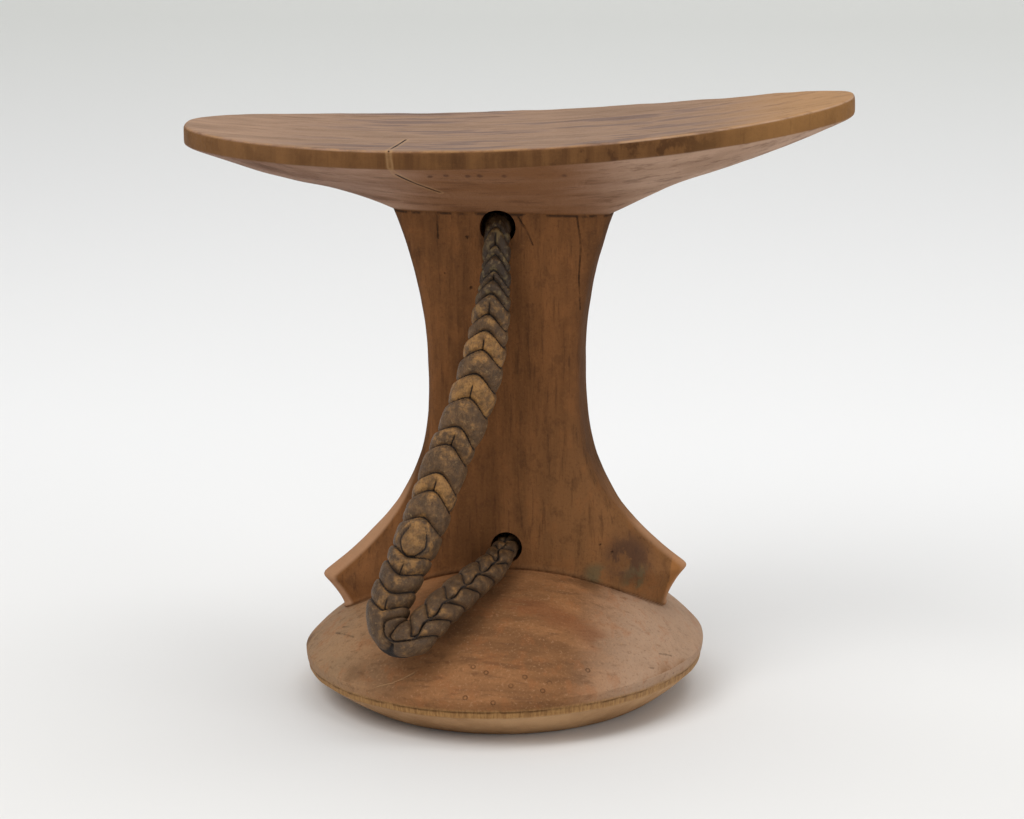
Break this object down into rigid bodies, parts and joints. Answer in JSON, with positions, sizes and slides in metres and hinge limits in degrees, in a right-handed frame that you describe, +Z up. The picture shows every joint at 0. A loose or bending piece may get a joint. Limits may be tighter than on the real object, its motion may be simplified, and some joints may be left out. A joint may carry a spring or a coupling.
{
  "type": "carved headrest",
  "caption": "Neck rest cut from one block of wood: dished oval platform on a winged hourglass column and domed foot, with a plaited leather carrying strap.",
  "frame": {"origin": "centre of the flat face that the foot stands on", "axes": "+Z up, +X along the platform towards its higher end, -Y towards the side that the strap hangs on"},
  "size_m": [0.1784, 0.1088, 0.1644],
  "materials": {
    "wood": "waxed, satin",
    "plaited_leather": "worn",
    "tail_leather": "dark, worn",
    "knot_leather": "dark, worn"
  },
  "bodies": {
    "stand": {"stand": "wood", "upper_tail": "tail_leather", "lower_tail": "tail_leather", "upper_knot": "knot_leather", "lower_knot": "knot_leather"},
    "strap": {"strap_loop": "plaited_leather"}
  },
  "joints": [
    {"name": "strap_swing", "type": "hinge", "parent": "stand", "child": "strap", "pos_m": [0.0008, -0.01657, 0.13034], "axis": [-0.0171, -0.0006, 0.9999], "range_deg": [-20, 75]}
  ]
}
